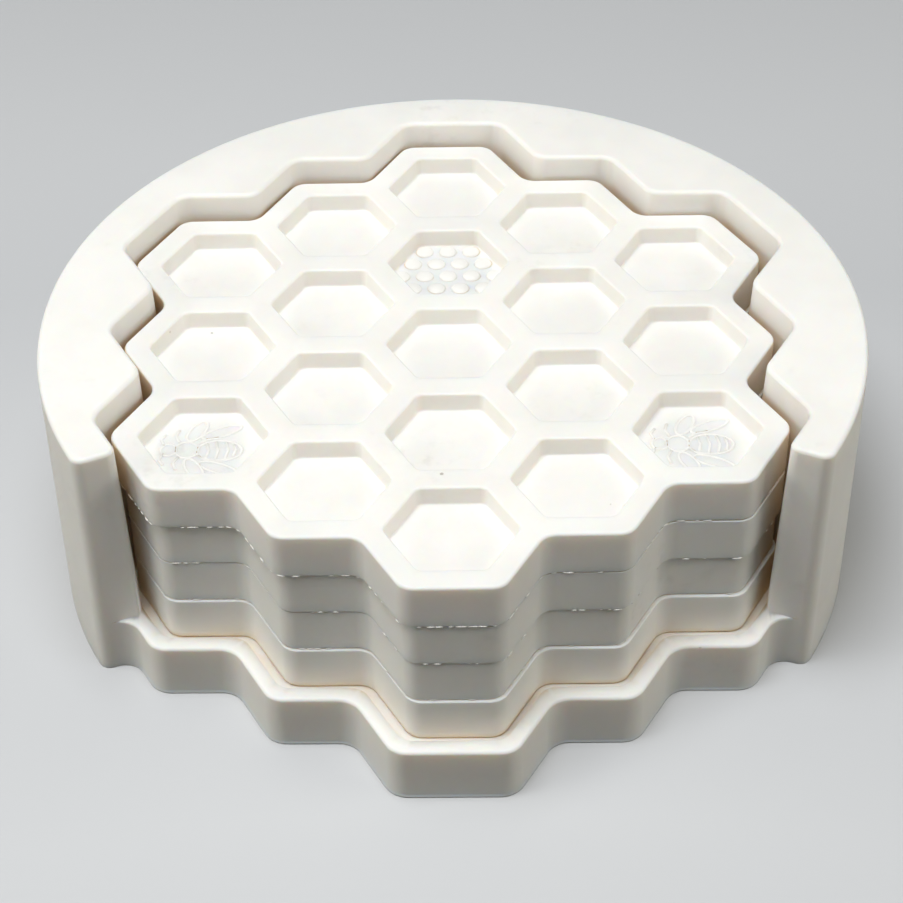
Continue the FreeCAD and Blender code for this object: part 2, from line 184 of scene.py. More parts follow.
def stations(corners: Sequence[Corner], arc_steps: int, run_steps: int) -> list[Station]:
    """Points along a closed outline, with its corners rounded.

    Args:
        corners: closed outline, anticlockwise.
        arc_steps: steps round each rounded corner.
        run_steps: steps along each straight run that starts at a rounded corner.

    Returns:
        Points with their outward directions, as many for each outline of equal corners.
    """
    arcs: list[list[Station]] = []
    count = len(corners)
    for index, corner in enumerate(corners):
        here = corner.place
        ahead = (corners[(index + 1) % count].place - here).normalized()
        behind = (here - corners[index - 1].place).normalized()
        out_behind = Vector((behind.y, -behind.x))
        out_ahead = Vector((ahead.y, -ahead.x))
        if corner.radius <= 0:
            middle = (out_behind + out_ahead).normalized()
            arcs.append([Station(here, middle / max(0.3, middle.dot(out_ahead)))])
            continue
        turn = behind.angle_signed(ahead) * -1
        length = corner.radius * math.tan(abs(turn) / 2)
        start = here - behind * length
        side = 1 if turn > 0 else -1
        centre = start - out_behind * corner.radius * side
        arc = []
        for step in range(arc_steps + 1):
            outward = out_behind.copy()
            outward.rotate(Matrix.Rotation(turn * step / arc_steps, 2))
            arc.append(Station(centre + outward * corner.radius * side, outward))
        arcs.append(arc)
    line: list[Station] = []
    for index, arc in enumerate(arcs):
        line.extend(arc)
        following = arcs[(index + 1) % count]
        if len(arc) > 1 and len(following) > 1:
            start, end = arc[-1], following[0]
            for step in range(1, run_steps):
                share = step / run_steps
                line.append(Station(start.place.lerp(end.place, share), start.outward))
    return line


# ---------------------------------------------------------------- meshes


def waver(place: Vector, size: float, amount: float, seed: float = 0.0) -> float:
    """Smooth unevenness of a cast surface at a place.

    Args:
        place: where, in metres.
        size: length of one wave.
        amount: greatest departure.
        seed: chooses another pattern.
    """
    return amount * noise.noise(place / size + Vector((seed, seed * 1.7, -seed)))


def ring_of(
    mesh: BMesh,
    line: Sequence[Station],
    height: float,
    inset: float | Callable[[Station], float] = 0.0,
    lift: Callable[[Vector], float] | None = None,
) -> list[BMVert]:
    """Closed row of vertices along an outline at one height.

    Args:
        mesh: mesh that gets the vertices.
        line: stations of the outline.
        height: Z of the row.
        inset: distance moved inwards, or a function of the station that gives it.
        lift: function of the vertex's place that gives a further rise.

    Returns:
        The row's vertices in order.
    """
    row = []
    for station in line:
        amount = inset(station) if callable(inset) else inset
        flat = station.place - station.outward * amount
        place = Vector((flat.x, flat.y, height))
        if lift:
            place.z += lift(place)
        row.append(mesh.verts.new(place))
    return row


def skin(mesh: BMesh, rows: Sequence[Sequence[BMVert]], closed: bool = True) -> None:
    """Faces between rows of equal length; the first row is the highest of an outer wall."""
    for upper, lower in zip(rows, rows[1:]):
        count = len(upper)
        for k in range(count if closed else count - 1):
            after = (k + 1) % count
            mesh.faces.new((upper[k], lower[k], lower[after], upper[after]))


def fill(mesh: BMesh, *loops: Sequence[BMVert]) -> None:
    """Flat faces inside the first loop and outside the others."""
    edges = []
    for loop in loops:
        for first, second in zip(loop, list(loop[1:]) + [loop[0]]):
            edges.append(mesh.edges.get((first, second)) or mesh.edges.new((first, second)))
    bmesh.ops.triangle_fill(mesh, edges=edges, use_beauty=True)


def show(name: str, data: bpy.types.ID) -> Object:
    """New object in the scene for a mesh, a lamp or a camera."""
    made = bpy.data.objects.new(name, data)
    bpy.context.scene.collection.objects.link(made)
    return made


def quarter_turn(steps: int) -> list[tuple[float, float]]:
    """Distances of a rounding from its two flanks, as shares of its radius.

    Args:
        steps: steps from one flank to the other.

    Returns:
        Pairs that begin with 1 and 0 and end with 0 and 1.
    """
    angles = [math.radians(90 * step / steps) for step in range(steps + 1)]
    return [(1 - math.sin(angle), 1 - math.cos(angle)) for angle in angles]


def finish_mesh(mesh: BMesh, name: str) -> Object:
    """Object at the origin from a mesh whose faces are turned outwards."""
    bmesh.ops.remove_doubles(mesh, verts=mesh.verts, dist=0.002 * MM)
    bmesh.ops.recalc_face_normals(mesh, faces=mesh.faces)
    data = bpy.data.meshes.new(name)
    mesh.to_mesh(data)
    mesh.free()
    data.shade_smooth()
    return show(name, data)


def bake_modifiers(made: Object) -> Object:
    """Turns an object's modifiers into its plain mesh and removes them."""
    graph = bpy.context.evaluated_depsgraph_get()
    data = bpy.data.meshes.new_from_object(
        made.evaluated_get(graph), preserve_all_data_layers=True, depsgraph=graph
    )
    made.modifiers.clear()
    old = made.data
    made.data = data
    data.name = made.name
    if old.users == 0:
        bpy.data.meshes.remove(old)
    return made


def flatten_shading(made: Object) -> None:
    """Keeps broad flat faces flat beside their rounded edges."""
    weighted = made.modifiers.new("flat_faces", "WEIGHTED_NORMAL")
    weighted.mode = "FACE_AREA"
    weighted.weight = 80
    weighted.keep_sharp = True
    bake_modifiers(made)


# ---------------------------------------------------------------- node trees


class TreeMaker:
    """Short way to lay out a node tree of any kind."""

    def __init__(self, tree: NodeTree) -> None:
        """Keeps the tree that the nodes go into."""
        self.tree = tree
        self.given: bpy.types.bpy_prop_collection | None = None

    @classmethod
    def group(
        cls, name: str, kind: str, inputs: dict[str, object], outputs: Sequence[str]
    ) -> TreeMaker:
        """Starts a group with named inputs and outputs.

        Args:
            name: the group's name.
            kind: Geometry or Shader.
            inputs: each input's default number, or the kind of its socket.
            outputs: names of the results, which are geometry or else plain numbers.

        Returns:
            The maker, whose given sockets are the group's inputs.
        """
        lay = cls(bpy.data.node_groups.new(name, f"{kind}NodeTree"))
        for label, value in inputs.items():
            number = "Int" if isinstance(value, int) else "Float"
            made = lay.tree.interface.new_socket(
                name=label,
                in_out="INPUT",
                socket_type=f"NodeSocket{value if isinstance(value, str) else number}",
            )
            if not isinstance(value, str):
                made.default_value = value
        result = "Geometry" if kind == "Geometry" else "Float"
        for label in outputs:
            lay.tree.interface.new_socket(
                name=label, in_out="OUTPUT", socket_type=f"NodeSocket{result}"
            )
        lay.given = lay.tree.nodes.new("NodeGroupInput").outputs
        return lay

    def close(self, *results: NodeSocket) -> NodeTree:
        """Leads the results to the group's outputs and gives back its tree."""
        out = self.tree.nodes.new("NodeGroupOutput")
        for index, result in enumerate(results):
            self.tree.links.new(result, out.inputs[index])
        return self.tree

    def add(self, kind: str, inputs: dict | None = None, **settings: object) -> Node:
        """Node with its settings, and its inputs linked from sockets or set to values."""
        node = self.tree.nodes.new(kind)
        for name, value in settings.items():
            setattr(node, name, value)
        for name, value in (inputs or {}).items():
            target = node.inputs[name]
            if isinstance(value, NodeSocket):
                self.tree.links.new(value, target)
            else:
                target.default_value = value
        return node

    def sum(self, operation: str, *values: object, clamp: bool = False) -> NodeSocket:
        """Math node's result; the operation is its name in Blender."""
        inputs = dict(enumerate(values))
        node = self.add("ShaderNodeMath", inputs, operation=operation, use_clamp=clamp)
        return node.outputs[0]

    def blend(self, share: object, first: object, second: object) -> NodeSocket:
        """Colour between two colours."""
        node = self.add("ShaderNodeMix", {0: share, 6: first, 7: second}, data_type="RGBA")
        return node.outputs[2]

    def noise(self, place: NodeSocket, scale: float, detail: float) -> NodeSocket:
        """Noise value at a place."""
        inputs = {"Vector": place, "Scale": scale, "Detail": detail}
        return self.add("ShaderNodeTexNoise", inputs).outputs[0]

    def bump(self, height: object, distance: float, strength: float, **under: object) -> NodeSocket:
        """Normal bent by a height; Normal is the one to start from."""
        inputs = {"Height": height, "Distance": distance, "Strength": strength, **under}
        return self.add("ShaderNodeBump", inputs).outputs[0]

    def remap(
        self, value: object, low: float, high: float, to_low: float = 0.0, to_high: float = 1.0
    ) -> NodeSocket:
        """Value moved smoothly from one range to another."""
        node = self.add(
            "ShaderNodeMapRange",
            {0: value, 1: low, 2: high, 3: to_low, 4: to_high},
            interpolation_type="SMOOTHSTEP",
        )
        return node.outputs[0]


@cache
def comb_tree() -> NodeTree:
    """Geometry nodes that lay one tile on every place of the comb and join it to its edge.

    Returns:
        A tree with the inputs Tile, Tile Side, Rings and Material beside the edge itself.
    """
    inputs = {
        "Edge": "Geometry",
        "Tile": "Object",
        "Tile Side": 12 * MM,
        "Rings": RINGS,
        "Material": "Material",
    }
    lay = TreeMaker.group("comb_of_tiles", "Geometry", inputs, ["Plate"])
    tree, given = lay.tree, lay.given

    span = lay.sum("MULTIPLY", given["Rings"], 2.0)
    rows = lay.sum("ADD", span, 1.0)
    sizes = {"Size X": span, "Size Y": span, "Vertices X": rows, "Vertices Y": rows}
    grid = lay.add("GeometryNodeMeshGrid", sizes)
    place = lay.add("ShaderNodeSeparateXYZ", {0: lay.add("GeometryNodeInputPosition").outputs[0]})
    across, up = place.outputs[0], place.outputs[1]
    outside = lay.add(
        "FunctionNodeCompare",
        {
            "A": lay.sum("ABSOLUTE", lay.sum("ADD", across, up)),
            "B": lay.sum("ADD", given["Rings"], 0.5),
        },
        data_type="FLOAT",
        operation="GREATER_THAN",
    )
    kept = lay.add(
        "GeometryNodeDeleteGeometry",
        {"Geometry": grid.outputs["Mesh"], "Selection": outside.outputs[0]},
        domain="POINT",
    )
    right = lay.sum("MULTIPLY", lay.sum("MULTIPLY", across, 1.5), given["Tile Side"])
    half = lay.sum("MULTIPLY", across, 0.5)
    rise = lay.sum("MULTIPLY", lay.sum("ADD", up, half), ROOT_3)
    back = lay.sum("MULTIPLY", rise, given["Tile Side"])
    spot = lay.add("ShaderNodeCombineXYZ", {"X": right, "Y": back})
    moved = lay.add(
        "GeometryNodeSetPosition", {"Geometry": kept.outputs[0], "Position": spot.outputs[0]}
    )
    tile = lay.add("GeometryNodeObjectInfo", {"Object": given["Tile"]})
    laid = lay.add(
        "GeometryNodeInstanceOnPoints",
        {"Points": moved.outputs[0], "Instance": tile.outputs["Geometry"]},
    )
    real = lay.add("GeometryNodeRealizeInstances", {"Geometry": laid.outputs[0]})
    joined = lay.add("GeometryNodeJoinGeometry")
    tree.links.new(given["Edge"], joined.inputs[0])
    tree.links.new(real.outputs[0], joined.inputs[0])
    merged = lay.add(
        "GeometryNodeMergeByDistance", {"Geometry": joined.outputs[0], "Distance": 0.005 * MM}
    )
    dressed = lay.add(
        "GeometryNodeSetMaterial", {"Geometry": merged.outputs[0], "Material": given["Material"]}
    )
    return lay.close(dressed.outputs[0])


@cache
def spread_tree() -> NodeTree:
    """Geometry nodes that scatter small shapes along a line, such as flash on a cast edge.

    Returns:
        A tree with the inputs Chip, Spacing, Share, Smallest, Largest, Seed and Material
        beside the line itself.
    """
    inputs = {
        "Line": "Geometry",
        "Chip": "Object",
        "Spacing": 0.55 * MM,
        "Share": 0.3,
        "Smallest": 0.5,
        "Largest": 1.4,
        "Seed": 1,
        "Material": "Material",
    }
    lay = TreeMaker.group("flash_along_edge", "Geometry", inputs, ["Flash"])
    given = lay.given

    curve = lay.add("GeometryNodeMeshToCurve", {"Mesh": given["Line"]})
    even = lay.add("GeometryNodeResampleCurve", {"Curve": curve.outputs[0]}, mode="LENGTH")
    lay.tree.links.new(given["Spacing"], even.inputs["Length"])
    picked = lay.add(
        "FunctionNodeRandomValue",
        {"Probability": given["Share"], "Seed": given["Seed"]},
        data_type="BOOLEAN",
    )
    size = lay.add(
        "FunctionNodeRandomValue",
        {2: given["Smallest"], 3: given["Largest"], "Seed": given["Seed"]},
        data_type="FLOAT",
    )
    along = lay.add("GeometryNodeInputTangent")
    laid_along = lay.add(
        "FunctionNodeAlignRotationToVector", {"Vector": along.outputs[0]}, axis="X"
    )
    chip = lay.add("GeometryNodeObjectInfo", {"Object": given["Chip"]})
    laid = lay.add(
        "GeometryNodeInstanceOnPoints",
        {
            "Points": even.outputs[0],
            "Selection": picked.outputs[3],
            "Instance": chip.outputs["Geometry"],
            "Rotation": laid_along.outputs[0],
            "Scale": size.outputs[1],
        },
    )
    real = lay.add("GeometryNodeRealizeInstances", {"Geometry": laid.outputs[0]})
    dressed = lay.add(
        "GeometryNodeSetMaterial", {"Geometry": real.outputs[0], "Material": given["Material"]}
    )
    return lay.close(dressed.outputs[0])


def grow(made: Object, tree: NodeTree, **values: object) -> Object:
    """Runs a geometry tree on an object and leaves its plain mesh.

    Args:
        made: object whose mesh is the tree's geometry input.
        tree: geometry node tree.
        values: the tree's inputs by name, with underscores for spaces.

    Returns:
        The same object, without a modifier.
    """
    modifier = made.modifiers.new(tree.name, "NODES")
    modifier.node_group = tree
    for item in tree.interface.items_tree:
        name = item.name.replace(" ", "_")
        if item.in_out == "INPUT" and name in values:
            modifier[item.identifier] = values[name]
    return bake_modifiers(made)


# ---------------------------------------------------------------- finishes


def layer_group() -> NodeTree:
    """Fine lying lines that the mould's layers leave on upright faces; output is a height."""
    inputs = {"Place": "Vector", "Pitch": 0.25 * MM, "Wander": 0.3}
    lay = TreeMaker.group("layer_lines", "Shader", inputs, ["Height"])
    given = lay.given
    up = lay.add("ShaderNodeSeparateXYZ", {0: given["Place"]}).outputs[2]
    drift = lay.noise(given["Place"], 60.0, 2.0)
    level = lay.sum("DIVIDE", up, given["Pitch"])
    wander = lay.sum("MULTIPLY", drift, given["Wander"])
    turn = lay.sum("MULTIPLY", lay.sum("ADD", level, wander), math.tau)
    wave = lay.sum("MULTIPLY", lay.sum("ADD", lay.sum("SINE", turn), 1.0), 0.5)
    bands = lay.add(
        "ShaderNodeTexNoise",
        {"W": lay.sum("MULTIPLY", level, 0.9), "Scale": 1.0, "Detail": 3.0},
        noise_dimensions="1D",
    )
    mixed = lay.sum("MULTIPLY", lay.sum("ADD", wave, bands.outputs[0]), 0.5)
    normal = lay.add("ShaderNodeNewGeometry").outputs["Normal"]
    facing = lay.add("ShaderNodeSeparateXYZ", {0: normal})
    flat = lay.sum("ABSOLUTE", facing.outputs[2])
    return lay.close(lay.sum("MULTIPLY", mixed, lay.remap(flat, 0.9, 0.4)))


def speck_group() -> NodeTree:
    """Scattered specks and pits; outputs a mask of specks and a height with small holes."""
    inputs = {"Place": "Vector", "Spacing": 7.0 * MM, "Size": 0.032, "Share": 0.35}
    lay = TreeMaker.group("specks_and_pits", "Shader", inputs, ["Speck", "Height"])
    given = lay.given
    density = lay.sum("DIVIDE", 1.0, given["Spacing"])
    ragged = lay.noise(given["Place"], 1400.0, 2.0)
    spots = lay.add("ShaderNodeTexVoronoi", {"Vector": given["Place"], "Scale": density})
    chance = lay.add("ShaderNodeSeparateColor", {0: spots.outputs["Color"]})
    chosen = lay.sum("LESS_THAN", chance.outputs[0], given["Share"])
    radius = lay.sum("MULTIPLY", given["Size"], lay.sum("ADD", chance.outputs[1], 0.35))
    edge = lay.sum("MULTIPLY", ragged, radius)
    gap = lay.sum("SUBTRACT", lay.sum("ADD", radius, edge), spots.outputs["Distance"])
    inside = lay.sum("MULTIPLY", gap, 40.0, clamp=True)
    speck = lay.sum("MULTIPLY", inside, chosen)
    return lay.close(speck, lay.sum("SUBTRACT", 1.0, speck))


def smudge_group() -> NodeTree:
    """Handling marks: broad soft patches and a few thin scuffs; output is a mask."""
    inputs = {"Place": "Vector", "Amount": 0.5}
    lay = TreeMaker.group("handling_marks", "Shader", inputs, ["Mask"])
    given = lay.given
    broad = lay.noise(given["Place"], 38.0, 5.0)
    fine = lay.noise(given["Place"], 420.0, 4.0)
    patches = lay.remap(broad, 0.52, 0.72)
    grit = lay.remap(fine, 0.5, 0.75)
    both = lay.sum("MULTIPLY", patches, lay.sum("ADD", grit, 0.25))
    return lay.close(lay.sum("MULTIPLY", both, given["Amount"], clamp=True))


def depth_group() -> NodeTree:
    """How deep a place lies in a gap, from 0 in the open to 1 between two close walls; the mask of
    the painted warm shade in gaps.
    """
    lay = TreeMaker.group("depth_in_gap", "Shader", {"Reach": 5 * MM}, ["Mask"])
    inputs = {"Distance": lay.given["Reach"]}
    open_share = lay.add("ShaderNodeAmbientOcclusion", inputs, samples=8)
    return lay.close(lay.remap(open_share.outputs["AO"], 0.45, 0.02))


class Effects:
    """The shader groups that the finishes share, each built once."""

    def __init__(self) -> None:
        """Builds the four groups."""
        self.layers = layer_group()
        self.specks = speck_group()
        self.smudges = smudge_group()
        self.depth = depth_group()


@dataclass(frozen=True)
class CastFinish:
    """Matt off-white cast finish, with painted warm shade in its gaps.

    Args:
        name: material's name.
        colour: base colour, linear.
        painted_gap_shade: painted warm shade deep in a gap, a darker tan colour standing in for
            shade and bounce light there, linear.
        dirt: colour of specks and smudges, linear.
        roughness: plain roughness.
        layer_pitch: height of one layer line.
        layer_depth: bump of the layer lines.
        pit_depth: bump of the pits.
        grain_depth: bump of the fine grain.
        speck_spacing: distance between specks.
        speck_share: share of the places that carry a speck.
        smudge: strength of the handling marks.
        shift: moves the patterns, so that equal pieces differ.
        scatter: share of the light that spreads below the surface.
    """

    name: str
    colour: tuple[float, float, float] = (0.90, 0.878, 0.84)
    # painted shade: darker warm tint that the occlusion mask lays into gaps and crevices
    painted_gap_shade: tuple[float, float, float] = (0.72, 0.53, 0.31)
    dirt: tuple[float, float, float] = (0.30, 0.27, 0.23)
    roughness: float = 0.52
    layer_pitch: float = 0.28 * MM
    layer_depth: float = 0.016 * MM
    pit_depth: float = 0.12 * MM
    grain_depth: float = 0.010 * MM
    speck_spacing: float = 6.0 * MM
    speck_share: float = 0.10
    smudge: float = 0.16
    shift: float = 0.0
    scatter: float = 0.5

    def build(self, effects: Effects) -> Material:
        """Material with this finish.

        Args:
            effects: shared shader groups.

        Returns:
            A node material on object coordinates.
        """
        material = bpy.data.materials.new(self.name)
        material.use_nodes = True
        tree = material.node_tree
        tree.nodes.clear()
        lay = TreeMaker(tree)
        place = lay.add("ShaderNodeTexCoord").outputs["Object"]
        moved = lay.add(
            "ShaderNodeMapping", {"Vector": place, "Location": (self.shift, -self.shift, 0.0)}
        ).outputs[0]
        inputs = {"Place": place, "Pitch": self.layer_pitch}
        layers = lay.add("ShaderNodeGroup", inputs, node_tree=effects.layers)
        inputs = {"Place": moved, "Spacing": self.speck_spacing, "Share": self.speck_share}
        specks = lay.add("ShaderNodeGroup", inputs, node_tree=effects.specks)
        inputs = {"Place": moved, "Amount": self.smudge}
        smudges = lay.add("ShaderNodeGroup", inputs, node_tree=effects.smudges)
        depth = lay.add("ShaderNodeGroup", node_tree=effects.depth)

        mottle = lay.noise(moved, 85.0, 4.0)
        shade = lay.remap(mottle, 0.3, 0.7)
        dull = tuple(part * 0.955 for part in self.colour)
        base = lay.blend(shade, (*dull, 1.0), (*self.colour, 1.0))
        # painted shade: where the occlusion mask finds a narrow gap, the colour turns to a darker
        # warm tint in place of real shade and bounce light
        base = lay.blend(depth.outputs["Mask"], base, (*self.painted_gap_shade, 1.0))
        base = lay.blend(smudges.outputs["Mask"], base, (*self.dirt, 1.0))
        base = lay.blend(
            lay.sum("MULTIPLY", specks.outputs["Speck"], 0.65), base, (*self.dirt, 1.0)
        )

        grain = lay.noise(moved, 1900.0, 3.0)
        lines = lay.bump(layers.outputs["Height"], self.layer_depth, 1.0)
        holes = lay.bump(specks.outputs["Height"], self.pit_depth, 0.7, Normal=lines)
        skin_bump = lay.bump(grain, self.grain_depth, 0.8, Normal=holes)
        rough = lay.remap(mottle, 0.2, 0.8, self.roughness - 0.07, self.roughness + 0.07)
        surface = lay.add(
            "ShaderNodeBsdfPrincipled",
            {
                "Base Color": base,
                "Roughness": rough,
                "Normal": skin_bump,
                "IOR": 1.45,
                "Specular IOR Level": 0.4,
                "Subsurface Weight": self.scatter,
                "Subsurface Radius": (1.0, 0.66, 0.38),
                "Subsurface Scale": 2.6 * MM,
            },
        )
        out = lay.add("ShaderNodeOutputMaterial")
        tree.links.new(surface.outputs[0], out.inputs[0])
        return material


# ---------------------------------------------------------------- the plates


@dataclass(frozen=True)
class Casting:
    """How one plate of the stack came out of its mould.

    Args:
        turn: how far the plate lies turned in its recess, in degrees.
        shrink: how much its sides lie inside the solid's.
        top_round: rounding of its top edge.
        flash: share of places along its underside's edge that carry a flake.
    """

    turn: float
    shrink: float
    top_round: float
    flash: float


@dataclass
class Plate:
    """One comb-shaped plate with a well in each of its nineteen tiles.

    Args:
        number: place in the stack, from 1 at the bottom.
        casting: how this plate differs from the others.
        material: finish of the plate.
        relief: finish of the small shapes on it.
    """

    number: int
    casting: Casting
    material: Material
    relief: Material
    margin: float = 1.65 * MM
    corner: float = 3.0 * MM
    foot_round: float = 0.36 * MM
    web: float = 4.08 * MM
    well_depth: float = 3.0 * MM
    well_corner: float = 1.4 * MM
    well_lip: float = 0.38 * MM
    well_foot: float = 0.28 * MM
    well_draft: float = 0.12 * MM
    uneven: float = 0.07 * MM
    foot_wave: float = 9 * MM
    side_wave: float = 14 * MM
    dome_wall: float = 0.4 * MM
    dome_radius: float = 1.45 * MM
    dome_rise: float = 0.55 * MM
    bee_rise: float = 0.12 * MM
    low: Vector = field(init=False)
    high: Vector = field(init=False)

    def __post_init__(self) -> None:
        """Takes the plate's place from its solid."""
        self.low, self.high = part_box(self.node)

    @property
    def node(self) -> str:
        """Name of the plate's solid, which is also its body's."""
        return f"plate_{self.number}"

    @property
    def cell_side(self) -> float:
        """Side of one tile, from the solid's height over five tiles."""
        turned = math.radians(abs(self.casting.turn))
        depth = self.high.y - self.low.y
        return (depth - 2 * self.margin) / (5 * ROOT_3 + math.sin(turned))

    @property
    def place(self) -> Matrix:
        """Turn and centre of the plate on its own underside."""
        middle = (self.low + self.high) / 2
        spot = Vector((middle.x, middle.y, self.low.z))
        return Matrix.Translation(spot) @ Matrix.Rotation(math.radians(self.casting.turn), 4, "Z")

    @property
    def thickness(self) -> float:
        """Height of the plate."""
        return self.high.z - self.low.z

    @property
    def well_floor(self) -> float:
        """Height of the wells' floors above the underside."""
        return self.thickness - self.well_depth

    @property
    def well_width(self) -> float:
        """Width of a well across its flats."""
        return self.cell_side * ROOT_3 - self.web

    def build(self) -> list[Object]:
        """Builds the plate and what stands in its wells.

        Returns:
            The plate's pieces, riding on its body.
        """
        plate = self._edge()
        tile = self._tile()
        grow(plate, comb_tree(), Tile=tile, Tile_Side=self.cell_side, Material=self.material)
        bpy.data.objects.remove(tile)
        flatten_shading(plate)
        pieces = [plate, self._domes(), self._bee(Side.LEFT), self._bee(Side.RIGHT)]
        if self.casting.flash > 0:
            pieces.append(self._flash())
        for piece in pieces:
            piece.data.transform(self.place)
            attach(piece, self.node)
        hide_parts(self.node)
        LOG.info("%s: %d faces", self.node, len(plate.data.polygons))
        return pieces

    def _outline(self) -> list[Station]:
        """Outer side of the plate seen from above."""
        spread = self.margin - self.casting.shrink
        outline = comb_corners(self.cell_side, spread, self.corner)
        return stations(outline, arc_steps=7, run_steps=6)

    def _flash(self) -> Object:
        """Thin flakes of casting material along the front of the underside's edge."""
        mesh = bmesh.new()
        bmesh.ops.create_icosphere(mesh, subdivisions=1, radius=0.5 * MM)
        for vert in mesh.verts:
            ragged = 1 + waver(vert.co, 0.4 * MM, 0.6, float(self.number))
            vert.co = Vector((vert.co.x * ragged, vert.co.y * 0.3, vert.co.z * 0.2 * ragged))
        flake = finish_mesh(mesh, f"{self.node}_flake")
        mesh = bmesh.new()
        row = ring_of(mesh, self._outline(), 0.12 * MM, 0.05 * MM)
        for first, second in zip(row, row[1:]):
            if max(first.co.y, second.co.y) < 0:
                mesh.edges.new((first, second))
        loose = [vert for vert in mesh.verts if not vert.link_edges]
        bmesh.ops.delete(mesh, geom=loose, context="VERTS")
        data = bpy.data.meshes.new("edge_line")
        mesh.to_mesh(data)
        mesh.free()
        flash = show(f"{self.node}_flash", data)
        share, seed = self.casting.flash, self.number
        grow(flash, spread_tree(), Chip=flake, Share=share, Seed=seed, Material=self.relief)
        bpy.data.objects.remove(flake)
        return flash

    def _edge(self) -> Object:
        """Underside, outer side and the flat margin round the tiles."""
        mesh = bmesh.new()
        line = self._outline()
        top, seed = self.thickness, float(self.number)
        sag = lambda place: waver(place, self.foot_wave, self.uneven, seed)
        side = lambda station: waver(
            station.place.to_3d(), self.side_wave, self.uneven * 0.6, seed + 3
        )
        rows, rounding = [], self.casting.top_round
        for inset, drop in quarter_turn(4):
            rows.append(ring_of(mesh, line, top - rounding * drop, rounding * inset))
        for share in (0.72, 0.45, 0.2):
            rows.append(ring_of(mesh, line, top * share, side))
        for height, inset in quarter_turn(3):
            height, inset = self.foot_round * height, self.foot_round * inset
            rows.append(ring_of(mesh, line, height, inset, sag if height > 0 else None))
        skin(mesh, rows)
        border = [
            mesh.verts.new((c.right, c.back, top)) for c in comb_corners(self.cell_side, 0, 0)
        ]
        fill(mesh, rows[0], border)
        fill(mesh, rows[-1])
        return finish_mesh(mesh, f"{self.node}_comb")

    def _tile(self) -> Object:
        """One tile's top with its well, to be laid on every place of the comb."""
        mesh = bmesh.new()
        top, floor = self.thickness, self.well_floor
        apothem = self.well_width / 2
        outer = [
            mesh.verts.new((self.cell_side * math.cos(a), self.cell_side * math.sin(a), top))
            for a in (math.radians(60 * k) for k in range(6))
        ]
        reach = apothem * 2 / ROOT_3
        corners = [
            Corner(reach * math.cos(a), reach * math.sin(a), self.well_corner)
            for a in (math.radians(60 * k) for k in range(6))
        ]
        line = stations(corners, arc_steps=6, run_steps=4)
        rows = []
        for inset, drop in quarter_turn(4):
            rows.append(ring_of(mesh, line, top - self.well_lip * drop, -self.well_lip * inset))
        for rise, inset in quarter_turn(4):
            inset = self.well_draft + self.well_foot * inset
            rows.append(ring_of(mesh, line, floor + self.well_foot * rise, inset))
        rows.reverse()
        skin(mesh, rows)
        fill(mesh, outer, rows[-1])
        fill(mesh, rows[0])
        tile = finish_mesh(mesh, f"{self.node}_tile")
        for face in tile.data.polygons:
            if face.normal.z < -0.01:
                face.flip()
        return tile

    def _domes(self) -> Object:
        """Nineteen low domes on the floor of the well behind the centre one."""
        mesh = bmesh.new()
        steps, rings = 20, 5
        rows = []
        for ring in range(rings):
            tilt = math.radians(90 * ring / rings)
            radius = self.dome_radius * math.cos(tilt)
            height = -SINK + (self.dome_rise + SINK) * math.sin(tilt)
            rows.append(
                [
                    mesh.verts.new((radius * math.cos(a), radius * math.sin(a), height))
                    for a in (math.tau * k / steps for k in range(steps))
                ]
            )
        skin(mesh, rows)
        tip = mesh.verts.new((0, 0, self.dome_rise))
        for k in range(steps):
            mesh.faces.new((rows[-1][k], rows[-1][(k + 1) % steps], tip))
        mesh.faces.new(rows[0])
        dome = finish_mesh(mesh, f"{self.node}_dome")
        pitch = (self.well_width / 2 - self.dome_wall - self.dome_radius) / ROOT_3
        empty = show(f"{self.node}_domes", bpy.data.meshes.new("domes"))
        grow(empty, comb_tree(), Tile=dome, Tile_Side=pitch / ROOT_3, Material=self.relief)
        bpy.data.objects.remove(dome)
        back = self.cell_side * ROOT_3
        turn = Matrix.Rotation(math.radians(30), 4, "Z")
        empty.data.transform(Matrix.Translation((0, back, self.well_floor)) @ turn)
        return empty

    def _bee(self, side: Side) -> Object:
        """Plain bee in low relief on the floor of the front well of an outer column."""
        bee = Bee(length=self.well_width * 0.8, rise=self.bee_rise)
        made = bee.build(f"{self.node}_bee_{side.name.lower()}", self.relief)
        right = side.value * 3 * self.cell_side
        back = -self.cell_side * ROOT_3
        made.data.transform(Matrix.Translation((right, back, self.well_floor)))
        return made


